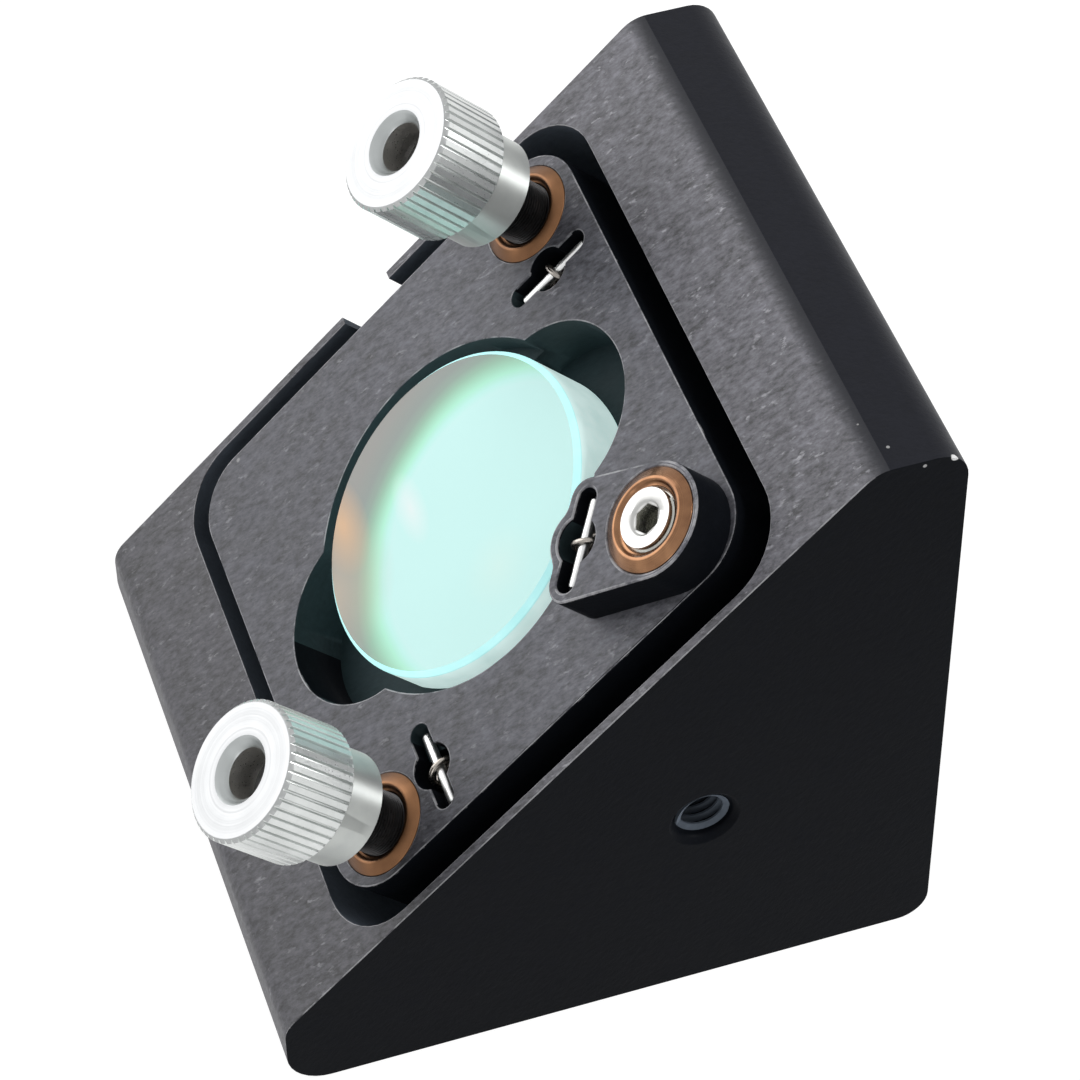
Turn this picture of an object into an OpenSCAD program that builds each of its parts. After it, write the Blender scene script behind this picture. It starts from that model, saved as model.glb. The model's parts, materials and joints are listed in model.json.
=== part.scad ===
// Kinematic mirror mount: a right-angle block for a 30 mm cage, with a tilting
// front plate that carries a one-inch mirror at 45 degrees.
// Units are mm and +Z is up. The block stands on its lower port face.
// The origin is on that face, on the axis of the lower light port.
// X runs from the thin toe of the block to its heel, Y along the block.

/* [Block] */
// Length of each leg of the right-angle profile
leg = 50.6; // [49:0.1:61]
// Width of the block along Y
block_w = 50; // [49:0.1:60]
// Flat left at both ends of the sloping face
toe = 6.75; // [6.4:0.05:8]
// Rounding of the two corners at the heel
corner_r = 2.4; // [1:0.1:3]
// Rounding of the lower corner of the toe
toe_r = 3.3; // [1:0.1:4]
// Rounding where the slope meets the toe and the top flat
slope_r = 2.8; // [1:0.1:4]
// Length of the pocket along the slope
pocket_l = 46; // [45.4:0.1:48]
// Wall left on each side of the pocket
rim = 0.75; // [0.6:0.05:1.2]
// Rounding of the pocket corners
pocket_r = 5.5; // [4.5:0.1:6.5]
// Depth of the pocket floor below the sloping face
pocket_d = 11.7; // [11.5:0.1:12.2]
// Diameter of the two light ports
port_d = 26.3; // [24:0.1:26.6]
// Depth of the two light ports
port_depth = 4; // [2.5:0.1:4.4]
// Diameter of the light path inside the block
light_d = 19.5; // [16:0.1:20]
// Distance between cage rod holes
cage = 30; // [29:0.1:31]
// Diameter of the cage rod holes
cage_d = 2.84; // [2:0.02:3]
// Depth of the cage rod holes
cage_depth = 5.5; // [4:0.1:6]
// Diameter of the post hole in each side face
post_d = 4.17; // [3:0.01:5]
// Depth of the post holes
post_depth = 7; // [4:0.1:9]
// Countersink diameter of the post holes
post_sink = 5.4; // [5.2:0.1:8]
// Distance of the post holes from the two right-angle faces
post_in = 18.4; // [17:0.1:20]
// Width of the access notch in the far rim
notch_w = 5.2; // [4:0.1:7]
// Depth of the access notch
notch_d = 5.6; // [4:0.1:8]

/* [Seats] */
// Diameter of the hardened seats in the pocket floor
seat_d = 5.6; // [4.8:0.1:6]
// Depth of the seats in the pocket floor
seat_in = 1.6; // [1.2:0.1:2]
// Height of the underside of the balls above the pocket floor
ball_up = 0.1; // [0:0.05:0.3]
// Diameter of the ball tips
ball_d = 3.18; // [2.6:0.02:3.8]
// Gap left between a ball and its seat or cup
ball_gap = 0.05; // [0.03:0.01:0.08]

/* [Front plate] */
// Gap between the plate and the two ends of the pocket
end_gap = 1.9; // [1.2:0.05:2.2]
// Gap between the plate and the two sides of the pocket
side_gap = 2.35; // [1.6:0.05:2.6]
// Thickness of the plate
plate_t = 8; // [7.5:0.1:8.2]
// Height of the plate top above the sloping face
proud = 0.7; // [0.4:0.05:1.2]
// Rounding of the plate corners
plate_r = 4.7; // [4:0.1:5.5]
// Distance of the ball axes from the ends of the plate
edge_x = 5; // [4.8:0.05:5.3]
// Distance of the ball axes from the sides of the plate
edge_y = 4.5; // [4.4:0.05:4.6]
// Width of the ledge that the mirror rests on
ledge = 1.3; // [0.8:0.1:2]
// Gap round the mirror in the upper part of its bore
bore_gap = 1.1; // [0.5:0.05:1.2]
// Depth of the upper part of the mirror bore
bore_depth = 2.2; // [1:0.1:3]
// Diameter of the finger reliefs beside the mirror
relief_d = 15; // [12:0.1:16]
// Reach of the finger reliefs beyond the mirror
relief_out = 5.2; // [3:0.1:5.6]
// Height of the floor of the finger reliefs above the mirror ledge
relief_up = 0.5; // [0.3:0.1:1.5]
// Turn of the line through the finger reliefs from the length of the slope
relief_turn = 2; // [0:0.5:5]
// Height of the pivot boss above the plate
boss_h = 3.5; // [2:0.05:4]
// Wall of the boss round the pivot bushing
boss_wall = 0.5; // [0.4:0.05:0.6]
// Wall of the boss round its pin slot
boss_side = 0.8; // [0.6:0.05:1]
// Wall of the boss round its spring hole
boss_bulge = 0.8; // [0.5:0.05:0.9]
// Rounding where that wall swells out round the spring hole
boss_blend = 1.5; // [1:0.1:1.6]

/* [Mirror] */
// Mirror diameter
mirror_d = 25.4; // [21:0.1:25.6]
// Mirror thickness
mirror_t = 6; // [5:0.1:6.4]
// Bevel of the mirror edges
mirror_bevel = 0.4; // [0.1:0.05:0.8]
// Radial clearance round the mirror
mirror_fit = 0.1; // [0.05:0.01:0.2]
// Diameter of the mirror clamp screw
clamp_d = 2.84; // [2:0.02:3]
// Length of the mirror clamp screw
clamp_l = 4.2; // [3:0.1:5]
// Length of the soft tip on the clamp screw
clamp_tip_l = 1; // [0.6:0.1:1.4]
// Height of the clamp screw above the mirror ledge
clamp_up = 1.65; // [1.6:0.05:1.8]

/* [Adjusters] */
// Diameter of the fine screws
screw_d = 4.76; // [4.4:0.01:5.72]
// Radial clearance of each screw in its bushing
screw_fit = 0.03; // [0.02:0.01:0.08]
// Wall of the bushings
bush_wall = 1.49; // [1.2:0.01:1.55]
// Height of the coned bushing heads above the plate and the boss
bush_out = 0.45; // [0.3:0.05:0.8]
// Width of the cone round the bushing heads
bush_cone = 0.8; // [0.4:0.05:1]
// Knob diameter over the knurl
knob_d = 10.6; // [10:0.1:11.4]
// Height of the knob face above the plate
knob_top = 14.1; // [13:0.1:16]
// Length of the knurled part
knurl_l = 6.3; // [5:0.1:7]
// Number of knurl teeth
teeth = 48; // [30:1:56]
// Depth of the knurl
knurl_d = 0.22; // [0.1:0.01:0.3]
// Flat share of each knurl tooth
land = 0.62; // [0.4:0.02:0.7]
// Wall of the smooth collar round the screw
collar_wall = 1.92; // [1.5:0.01:2.1]
// Length of the smooth collar
collar_l = 3.6; // [2.6:0.1:4]
// Diameter of the tool hole in the knob face
tool_d = 3.8; // [3:0.1:4.3]
// Depth of the tool hole, down to the end of the screw
tool_depth = 3.2; // [2:0.1:4]
// Depth of the cone at the mouth of the tool hole
sink_l = 0.75; // [0.4:0.05:1.2]
// Width across flats of the hex sockets
hex_af = 1.98; // [1.5:0.01:2.4]
// Depth of the hex sockets
hex_depth = 2.5; // [1.5:0.1:3]
// Height of the pivot screw above its boss
pivot_out = 0.5; // [0.3:0.05:0.8]

/* [Springs] */
// Outer diameter of the springs
spring_d = 3; // [2.6:0.1:3.6]
// Diameter of the spring wire
wire_d = 0.45; // [0.35:0.05:0.5]
// Radial gap round the springs in their holes
spring_gap = 0.25; // [0.2:0.05:0.3]
// Distance of the springs from the axes of the screws beside them
spring_in = 5.9; // [5.7:0.05:6.1]
// Diameter of the spring pins
pin_d = 0.8; // [0.6:0.05:0.96]
// Length of the spring pins
pin_l = 6.6; // [6:0.1:6.8]
// Gap at each end of a pin in its slot
slot_end = 0.6; // [0.4:0.05:0.8]
// Gap on each side of a pin in its slot
slot_side = 0.45; // [0.25:0.05:0.5]
// Depth of the pin slots
slot_d = 1.35; // [1.1:0.05:1.6]
// Depth of the lower pins below the pocket floor
anchor_n = 1.3; // [1.2:0.05:1.5]
// Depth of the lower spring holes
anchor_depth = 4.2; // [3.6:0.1:4.4]

/* [Hidden] */
$fn = 64;
eps = 0.02;
// frame of the sloping face: x up the slope, y along the block, z out of the slope
slope_x = -toe / 2;
slope_z = (leg + toe) / 2;
pocket_w = block_w - 2 * rim;
plate_l = pocket_l - 2 * end_gap;
plate_w = pocket_w - 2 * side_gap;
// the reflecting face passes through the crossing of the two light paths
mirror_n = -toe / sqrt(2);
plate_n = proud - plate_t;
boss_n = proud + boss_h;
clamp_n = mirror_n + clamp_up;
bore_d = mirror_d + 2 * bore_gap;
aperture_d = mirror_d - 2 * ledge;
relief_off = mirror_d / 2 + relief_out - relief_d / 2;
// axes of the pivot and of the two adjusters
adj_x = plate_l / 2 - edge_x;
adj_y = plate_w / 2 - edge_y;
pivot_at = [adj_x, -adj_y];
adjuster_1_at = [adj_x, adj_y];
adjuster_2_at = [-adj_x, -adj_y];
// spring axes beside the two adjusters and beside the pivot
spring_1 = adjuster_1_at - [0.4, spring_in];
spring_2 = adjuster_2_at + [spring_in, 0.7];
spring_3 = pivot_at + [-spring_in, 3.5];
ball_n = ball_d / 2 + ball_up - pocket_d;
screw_bore = screw_d + 2 * screw_fit;
bush_d = screw_bore + 2 * bush_wall;
collar_d = screw_d + 2 * collar_wall;
hex_cd = hex_af / cos(30);
// lower end of the screws and upper end of the adjusting screws
screw_n = ball_n + 0.3;
screw_top = proud + knob_top - tool_depth;
hole_d = spring_d + 2 * spring_gap;
slot_l = pin_l + 2 * slot_end;
slot_w = pin_d + 2 * slot_side;
// points of one knurl tooth, each as its share of the pitch and its depth
tooth = [[-land / 2, 0], [land / 2, 0], [0.44, knurl_d], [0.56, knurl_d]];
// depth of the upper pin axes, as the pins lie on the floors of their slots
pin_n = slot_d - pin_d / 2;

// points of an arc of radius r about c, from angle a to angle b in k steps
function arc(c, r, a, b, k = 8) = [for (i = [0:k]) c + r * [cos(a + (b - a) * i / k), sin(a + (b - a) * i / k)]];

// rounded rectangle as points
function rounded(l, w, r, k = 10) = concat(
    arc([l / 2 - r, w / 2 - r], r, 0, 90, k),
    arc([-l / 2 + r, w / 2 - r], r, 90, 180, k),
    arc([-l / 2 + r, -w / 2 + r], r, 180, 270, k),
    arc([l / 2 - r, -w / 2 + r], r, 270, 360, k));

// direction angle of a vector
function ang(v) = atan2(v[1], v[0]);

// places children in the frame of the sloping face
module on_slope() {
    translate([slope_x, 0, slope_z])
        rotate([0, -45, 0])
            children();
}

// profile of the block in X and Z
function block_profile() =
    let (h = leg / 2, s = slope_r * tan(22.5))
    concat(
        arc([h - corner_r, corner_r], corner_r, -90, 0),
        arc([h - corner_r, leg - corner_r], corner_r, 0, 90),
        arc([h - toe + s, leg - slope_r], slope_r, 90, 135),
        arc([-h + slope_r, toe - s], slope_r, 135, 180),
        arc([-h + toe_r, toe_r], toe_r, 180, 270));

// slot for an upper pin with the spring hole in its middle, cut down from z = 0
module pin_slot() {
    translate([0, 0, -slot_d])
        linear_extrude(slot_d + 5)
            polygon(rounded(slot_l, slot_w, slot_w / 2 - eps, 6));
    translate([0, 0, -plate_t - boss_h - 1])
        cylinder(h = plate_t + boss_h + 6, d = hole_d);
}

// blind spring hole with a cross hole for a lower pin, cut down from z = 0
module anchor() {
    translate([0, 0, -anchor_depth])
        cylinder(h = anchor_depth + 1, d = hole_d);
    translate([-pin_l / 2 - eps, 0, -anchor_n])
        rotate([0, 90, 0])
            cylinder(h = pin_l + 2 * eps, d = pin_d + eps, $fn = 24);
}

// frames of the three springs, with their pins lying along x
module at_spring_1() {
    translate(spring_1)
        children();
}

module at_spring_2() {
    translate(spring_2)
        rotate([0, 0, 90])
            children();
}

module at_spring_3() {
    translate(spring_3)
        rotate([0, 0, 45])
            children();
}

// one light port with its four cage rod holes, drilled up from z = 0
module port_cuts() {
    translate([0, 0, -1])
        cylinder(h = port_depth + 1, d = port_d);
    cylinder(h = leg / 2, d = light_d);
    for (sx = [-1, 1]) {
        for (sy = [-1, 1]) {
            translate([sx * cage / 2, sy * cage / 2, -1])
                cylinder(h = cage_depth + 1, d = cage_d);
        }
    }
}

// one tapped post hole with its countersink, drilled in from y = 0
module post_cut() {
    rotate([-90, 0, 0]) {
        translate([0, 0, -1])
            cylinder(h = post_depth + 1, d = post_d);
        translate([0, 0, -eps])
            cylinder(h = (post_sink - post_d) / 2 + eps, d1 = post_sink + 2 * eps, d2 = post_d);
    }
}

module housing() {
    color("#1d1f22")
    difference() {
        translate([0, block_w / 2, 0])
            rotate([90, 0, 0])
                linear_extrude(block_w)
                    polygon(block_profile());
        on_slope() {
            // pocket for the front plate
            translate([0, 0, -pocket_d])
                linear_extrude(pocket_d + 6)
                    polygon(rounded(pocket_l, pocket_w, pocket_r));
            // seats for the three balls
            for (p = [pivot_at, adjuster_1_at, adjuster_2_at]) {
                translate([p[0], p[1], -pocket_d - seat_in])
                    cylinder(h = 3, d = seat_d + eps);
            }
            // lower spring anchors
            translate([0, 0, -pocket_d]) {
                at_spring_1() anchor();
                at_spring_2() anchor();
                at_spring_3() anchor();
            }
            // access notch to the mirror clamp screw
            translate([0, block_w / 2 - rim - 1, -notch_d + notch_w / 2]) {
                rotate([-90, 0, 0])
                    cylinder(h = rim + 3, d = notch_w);
                translate([-notch_w / 2, 0, 0])
                    cube([notch_w, rim + 3, notch_d + 2]);
            }
        }
        port_cuts();
        translate([leg / 2, 0, leg / 2])
            rotate([0, -90, 0])
                port_cuts();
        translate([leg / 2 - post_in, -block_w / 2, post_in])
            post_cut();
        translate([leg / 2 - post_in, block_w / 2, post_in])
            mirror([0, 1, 0])
                post_cut();
    }
}

// seat disc standing in the pocket floor, its top at height top
module seat_disc(top) {
    translate([0, 0, -pocket_d - seat_in])
        cylinder(h = pocket_d + seat_in + top, d = seat_d);
}

module seat_cone() {
    top = ball_n - ball_d / 2 + 0.8;
    apex = ball_n - (ball_d / 2 + ball_gap) * sqrt(2);
    color("#c9ccd0")
    on_slope()
        translate([adj_x, -adj_y, 0])
            difference() {
                seat_disc(top);
                translate([0, 0, apex])
                    cylinder(h = top - apex + 1, r1 = 0, r2 = top - apex + 1);
            }
}

module seat_vee() {
    top = ball_n - ball_d / 2 + 0.8;
    apex = ball_n - (ball_d / 2 + ball_gap) * sqrt(2);
    color("#c9ccd0")
    on_slope()
        translate([-adj_x, -adj_y, 0])
            difference() {
                seat_disc(top);
                translate([-5, 0, apex])
                    rotate([90, 0, 90])
                        linear_extrude(10)
                            polygon([[0, 0], [4, 4], [-4, 4]]);
            }
}

module seat_flat() {
    color("#c9ccd0")
    on_slope()
        translate([adj_x, adj_y, 0])
            seat_disc(ball_n - ball_d / 2 - ball_gap);
}

// straight spring pin lying along x, its axis at z = 0
module pin() {
    color("#d6d8da")
    translate([-pin_l / 2, 0, 0])
        rotate([0, 90, 0])
            cylinder(h = pin_l, d = pin_d, $fn = 24);
}

module housing_pin_1() {
    on_slope() at_spring_1() translate([0, 0, -pocket_d - anchor_n]) pin();
}

module housing_pin_2() {
    on_slope() at_spring_2() translate([0, 0, -pocket_d - anchor_n]) pin();
}

module housing_pin_3() {
    on_slope() at_spring_3() translate([0, 0, -pocket_d - anchor_n]) pin();
}

module plate_pin_1() {
    on_slope() at_spring_1() translate([0, 0, proud - pin_n]) pin();
}

module plate_pin_2() {
    on_slope() at_spring_2() translate([0, 0, proud - pin_n]) pin();
}

module plate_pin_3() {
    on_slope() at_spring_3() translate([0, 0, boss_n - pin_n]) pin();
}

// ball tip centred at z = 0
module ball() {
    color("#c9ccd0")
    rotate_extrude()
        intersection() {
            circle(d = ball_d);
            translate([0, -ball_d])
                square([ball_d, 2 * ball_d]);
        }
}

module pivot_ball() {
    on_slope() translate([pivot_at[0], pivot_at[1], ball_n]) ball();
}

module adjuster_ball_1() {
    on_slope() translate([adj_x, adj_y, ball_n]) ball();
}

module adjuster_ball_2() {
    on_slope() translate([-adj_x, -adj_y, ball_n]) ball();
}

// outline of the boss with the spring hole at [0, 0] and the pin slot along X:
// a wall round the slot that swells round the hole, and tangents to a round end about the pivot
function boss_outline() =
    let (r = bush_d / 2 + boss_wall,
         side = slot_w / 2 + boss_side,
         swell = hole_d / 2 + boss_bulge,
         end = [(slot_l - slot_w) / 2, 0],
         fillet_y = side + boss_blend,
         fillet_x = sqrt(pow(swell + boss_blend, 2) - pow(fillet_y, 2)),
         meet = atan2(fillet_y, fillet_x),
         off = pivot_at - spring_3,
         pivot = [off[0] + off[1], off[1] - off[0]] / sqrt(2),
         upper = ang(end - pivot) - acos((r - side) / norm(end - pivot)),
         lower = ang(pivot + end) - acos((side - r) / norm(pivot + end)))
    concat(
        arc(end, side, upper, 90),
        arc([fillet_x, fillet_y], boss_blend, 270, 180 + meet),
        arc([0, 0], swell, meet, 180 - meet, 12),
        arc([-fillet_x, fillet_y], boss_blend, -meet, -90),
        arc(-end, side, 90, lower + 360),
        arc(pivot, r, lower, upper, 20));

module front_plate() {
    color("#2b2c30")
    on_slope()
        difference() {
            union() {
                translate([0, 0, plate_n])
                    linear_extrude(plate_t)
                        polygon(rounded(plate_l, plate_w, plate_r));
                at_spring_3()
                    translate([0, 0, proud - 1])
                        linear_extrude(boss_h + 1)
                            polygon(boss_outline());
            }
            // stepped bore for the mirror, finger reliefs and clear opening
            translate([0, 0, proud - bore_depth])
                cylinder(h = bore_depth + 5, d = bore_d);
            translate([0, 0, mirror_n])
                cylinder(h = 8, d = mirror_d + 2 * mirror_fit);
            translate([0, 0, plate_n - 1])
                cylinder(h = plate_t, d = aperture_d);
            for (side = [0, 180]) {
                rotate([0, 0, side + relief_turn])
                    translate([relief_off, 0, mirror_n + relief_up])
                        cylinder(h = 8, d = relief_d);
            }
            // bores for the three bushings
            for (p = [pivot_at, adjuster_1_at, adjuster_2_at]) {
                translate([p[0], p[1], plate_n - 1])
                    cylinder(h = plate_t + boss_h + 3, d = bush_d);
            }
            // upper spring anchors
            translate([0, 0, proud]) {
                at_spring_1() pin_slot();
                at_spring_2() pin_slot();
            }
            translate([0, 0, boss_n])
                at_spring_3() pin_slot();
            // tapped hole for the mirror clamp screw
            translate([0, mirror_d / 2 - 1, clamp_n])
                rotate([-90, 0, 0])
                    cylinder(h = plate_w / 2, d = clamp_d + eps);
        }
}

module mirror_disc() {
    b = mirror_bevel;
    r = mirror_d / 2;
    color("#a9efe4")
    on_slope()
        translate([0, 0, mirror_n])
            rotate_extrude()
                polygon([[0, 0], [r - b, 0], [r, b], [r, mirror_t - b], [r - b, mirror_t], [0, mirror_t]]);
}

module clamp_tip() {
    color("#f0efe6")
    on_slope()
        translate([0, mirror_d / 2, clamp_n])
            rotate([-90, 0, 0])
                cylinder(h = clamp_tip_l, d = clamp_d - 1, $fn = 32);
}

module clamp_screw() {
    color("#3a3b3d")
    on_slope()
        translate([0, mirror_d / 2 + clamp_tip_l, clamp_n])
            rotate([-90, 0, 0])
                difference() {
                    cylinder(h = clamp_l, d = clamp_d, $fn = 32);
                    translate([0, 0, clamp_l - 1.2])
                        cylinder(h = 2, d = 1.27 / cos(30), $fn = 6);
                }
}

// bushing with a coned head, its foot at plate_n and its head standing on top
module bushing(top) {
    r = bush_d / 2;
    q = screw_bore / 2;
    color("#b07a4c")
    rotate_extrude()
        polygon([[q, plate_n], [r, plate_n], [r, top], [r - bush_cone, top + bush_out],
            [q + 0.25, top + bush_out], [q, top + bush_out - 0.25]]);
}

module bushing_1() {
    on_slope() translate([adj_x, adj_y, 0]) bushing(proud);
}

module bushing_2() {
    on_slope() translate([-adj_x, -adj_y, 0]) bushing(proud);
}

module pivot_bushing() {
    on_slope() translate([adj_x, -adj_y, 0]) bushing(boss_n);
}

// fine screw from bottom to top with a ball cup below and a hex socket above
module fine_screw(bottom, top, bevel) {
    r = screw_d / 2;
    cup = ball_d / 2 + ball_gap;
    color("#8d8f92")
    difference() {
        rotate_extrude()
            polygon([[0, bottom], [r - 0.4, bottom], [r, bottom + 0.4], [r, top - bevel], [r - bevel, top], [0, top]]);
        translate([0, 0, ball_n])
            rotate_extrude()
                intersection() {
                    circle(r = cup);
                    translate([0, -cup])
                        square([cup, 2 * cup]);
                }
        translate([0, 0, top - hex_depth])
            cylinder(h = hex_depth + 1, d = hex_cd, $fn = 6);
        translate([0, 0, top - 0.25])
            cylinder(h = 0.25 + eps, d1 = hex_cd, d2 = hex_cd + 0.5 + 2 * eps);
    }
}

module pivot_screw() {
    on_slope() translate([adj_x, -adj_y, 0]) fine_screw(screw_n, boss_n + pivot_out, 0.15);
}

module adjuster_screw_1() {
    on_slope() translate([adj_x, adj_y, 0]) fine_screw(screw_n, screw_top, 0.3);
}

module adjuster_screw_2() {
    on_slope() translate([-adj_x, -adj_y, 0]) fine_screw(screw_n, screw_top, 0.3);
}

// knob with a straight knurl and a smooth collar, its face at height top
module knob(top) {
    r = knob_d / 2;
    low = top - knurl_l;
    foot = low - collar_l;
    q = screw_d / 2 + 0.01;
    bevel = 0.3;
    color("#c4c6c8")
    difference() {
        union() {
            intersection() {
                translate([0, 0, low])
                    linear_extrude(knurl_l)
                        polygon([for (i = [0:teeth - 1]) for (p = tooth)
                            (r - p[1]) * [cos(360 * (i + p[0]) / teeth), sin(360 * (i + p[0]) / teeth)]]);
                rotate_extrude()
                    polygon([[0, low - 1], [r - 1.5, low - 1], [r - 1.5, low], [r - bevel, low],
                        [r + 0.1, low + bevel + 0.1], [r + 0.1, top - bevel - 0.1], [r - bevel, top], [0, top]]);
            }
            translate([0, 0, foot])
                cylinder(h = collar_l + 1, d = collar_d);
        }
        translate([0, 0, foot - 1])
            cylinder(h = screw_top - foot + 1, r = q);
        translate([0, 0, foot])
            cylinder(h = top - foot + 1, d = tool_d);
        translate([0, 0, top - sink_l])
            cylinder(h = sink_l + eps, d1 = tool_d, d2 = tool_d + 1.4 + eps);
    }
}

module knob_1() {
    on_slope() translate([adj_x, adj_y, 0]) knob(proud + knob_top);
}

module knob_2() {
    on_slope() translate([-adj_x, -adj_y, 0]) knob(proud + knob_top);
}

// close-wound spring between two pins lying along x, at heights low and high
module spring(low, high) {
    ring = pin_d / 2 + wire_d / 2 + 0.05;
    reach = ring + wire_d / 2;
    r = spring_d / 2;
    a = low + reach;
    turns = floor((high - low - 2 * reach) / wire_d);
    step = (high - low - 2 * reach) / turns;
    color("#b9bcc0")
    union() {
        rotate_extrude()
            polygon(concat(
                [[r - wire_d, a + turns * step], [r - wire_d, a]],
                [for (i = [0:turns - 1]) each [[r - 0.12, a + i * step], [r, a + (i + 0.3) * step],
                    [r, a + (i + 0.7) * step]]],
                [[r - 0.12, a + turns * step]]));
        for (z = [a, a + turns * step]) {
            translate([0, -r + wire_d / 2, z])
                rotate([-90, 0, 0])
                    cylinder(h = 2 * r - wire_d, d = wire_d, $fn = 16);
        }
        for (z = [low, high]) {
            translate([0, 0, z])
                rotate([0, 90, 0])
                    rotate_extrude($fn = 32)
                        translate([ring, 0])
                            circle(d = wire_d, $fn = 16);
        }
    }
}

module spring_coil_1() {
    on_slope() at_spring_1() spring(-pocket_d - anchor_n, proud - pin_n);
}

module spring_coil_2() {
    on_slope() at_spring_2() spring(-pocket_d - anchor_n, proud - pin_n);
}

module spring_coil_3() {
    on_slope() at_spring_3() spring(-pocket_d - anchor_n, boss_n - pin_n);
}

housing();
seat_cone();
seat_vee();
seat_flat();
housing_pin_1();
housing_pin_2();
housing_pin_3();
pivot_ball();
front_plate();
mirror_disc();
clamp_screw();
clamp_tip();
bushing_1();
bushing_2();
pivot_bushing();
pivot_screw();
plate_pin_1();
plate_pin_2();
plate_pin_3();
adjuster_ball_1();
adjuster_ball_2();
adjuster_screw_1();
adjuster_screw_2();
knob_1();
knob_2();
spring_coil_1();
spring_coil_2();
spring_coil_3();
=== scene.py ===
# %% [markdown]
# # A kinematic mirror mount
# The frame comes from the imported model: every solid of the mount, at its real
# size, in metres.  The block stands on its lower face, +Z is up, and the
# sloping face that carries the mirror looks towards -X and +Z.  Blender adds
# the finish of each surface, the fine threads, the wound springs and the worn
# edges, and never moves or resizes a solid of the model.

# %% Load the frame
import bmesh
import bpy
import json
import math
from mathutils import Matrix, Vector
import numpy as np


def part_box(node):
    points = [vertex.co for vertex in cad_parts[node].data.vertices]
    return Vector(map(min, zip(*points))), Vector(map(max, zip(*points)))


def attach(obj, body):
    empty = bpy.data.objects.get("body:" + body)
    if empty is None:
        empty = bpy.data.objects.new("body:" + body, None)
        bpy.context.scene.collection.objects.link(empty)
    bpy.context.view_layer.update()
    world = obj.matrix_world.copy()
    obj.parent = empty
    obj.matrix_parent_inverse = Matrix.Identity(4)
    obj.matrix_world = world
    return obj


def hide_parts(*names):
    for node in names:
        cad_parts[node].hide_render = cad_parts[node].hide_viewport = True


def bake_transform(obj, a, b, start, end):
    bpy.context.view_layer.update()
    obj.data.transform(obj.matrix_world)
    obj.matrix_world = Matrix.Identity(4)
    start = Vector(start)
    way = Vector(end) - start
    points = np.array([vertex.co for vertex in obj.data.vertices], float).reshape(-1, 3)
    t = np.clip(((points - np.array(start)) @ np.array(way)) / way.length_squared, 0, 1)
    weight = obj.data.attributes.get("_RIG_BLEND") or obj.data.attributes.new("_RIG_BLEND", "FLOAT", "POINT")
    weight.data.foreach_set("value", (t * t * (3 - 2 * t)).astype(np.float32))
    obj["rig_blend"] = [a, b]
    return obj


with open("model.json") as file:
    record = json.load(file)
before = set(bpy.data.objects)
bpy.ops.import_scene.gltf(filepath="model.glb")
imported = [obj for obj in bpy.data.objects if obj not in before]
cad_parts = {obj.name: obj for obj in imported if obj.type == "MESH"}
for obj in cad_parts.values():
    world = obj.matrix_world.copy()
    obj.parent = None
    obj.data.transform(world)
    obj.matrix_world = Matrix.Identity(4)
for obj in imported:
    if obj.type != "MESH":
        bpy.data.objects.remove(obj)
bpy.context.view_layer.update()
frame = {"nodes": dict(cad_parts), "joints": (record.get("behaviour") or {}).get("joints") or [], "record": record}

MM = 0.001

# %% [markdown]
# ## Camera
# The camera looks down on the slope from the front left.  A long lens from a
# third of a metre away keeps the perspective as mild as a studio picture
# has it, and the small roll is how the camera stood.  The camera is built
# from its bearing round the object, which is easier to read than a matrix.

# %% Make the camera
CAMERA_AT = Vector((-61.92, -200.64, 251.19)) * MM
AZIMUTH = math.radians(-17.854)
ELEVATION = math.radians(47.141)
ROLL = math.radians(-0.704)
SENSOR_WIDTH = 36
FOCAL_LENGTH = 137.83

back = Vector((math.sin(AZIMUTH) * math.cos(ELEVATION),
               -math.cos(AZIMUTH) * math.cos(ELEVATION),
               math.sin(ELEVATION)))
level = Vector((math.cos(AZIMUTH), math.sin(AZIMUTH), 0))
rise = back.cross(level)
right = math.cos(ROLL) * level + math.sin(ROLL) * rise
up = math.cos(ROLL) * rise - math.sin(ROLL) * level
turn = Matrix((right, up, back)).transposed().to_4x4()

lens = bpy.data.cameras.new("camera")
lens.sensor_width = SENSOR_WIDTH
lens.lens = FOCAL_LENGTH
lens.clip_start = 0.01
camera = bpy.data.objects.new("camera", lens)
camera.matrix_world = Matrix.Translation(CAMERA_AT) @ turn
bpy.context.scene.collection.objects.link(camera)
bpy.context.scene.camera = camera
print("camera", round(CAMERA_AT.length, 3), "m from the origin")

# %% [markdown]
# ## The frame of the slope
# Nearly everything on this mount is square to the sloping face, so the pieces
# are easiest to make lying flat: x up the slope, y along the block and z out
# of the slope, with the mirror's axis at the middle.  One matrix then takes a
# finished piece to its place.  The matrix comes from the joints of the model:
# the line of the slope is the second tilt axis, and the two knob axes stand
# at equal distances on both sides of the mirror's axis.

# %% Work out the slope's frame
joints = {joint["name"]: joint for joint in frame["joints"]}
along = Vector(joints["tilt_across_slope"]["axis"]).normalized()
across = Vector((0, 1, 0))
outward = along.cross(across)
knob_axes = [Vector(joints[name]["pos_m"]) for name in ("knob_1_turn", "knob_2_turn")]
BALLS_UNDER_SLOPE = 10.01 * MM
centre = (knob_axes[0] + knob_axes[1]) / 2 + outward * BALLS_UNDER_SLOPE
SLOPE = Matrix.Translation(centre) @ Matrix((along, across, outward)).transposed().to_4x4()


def on_slope(point):
    """A point of the model in the slope's frame."""
    return SLOPE.inverted() @ Vector(point)


def reach(node):
    """Lowest and highest corner of a CAD node in the slope's frame."""
    corners = [on_slope(v.co) for v in frame["nodes"][node].data.vertices]
    low = Vector(min(c[i] for c in corners) for i in range(3))
    high = Vector(max(c[i] for c in corners) for i in range(3))
    return low, high


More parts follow.
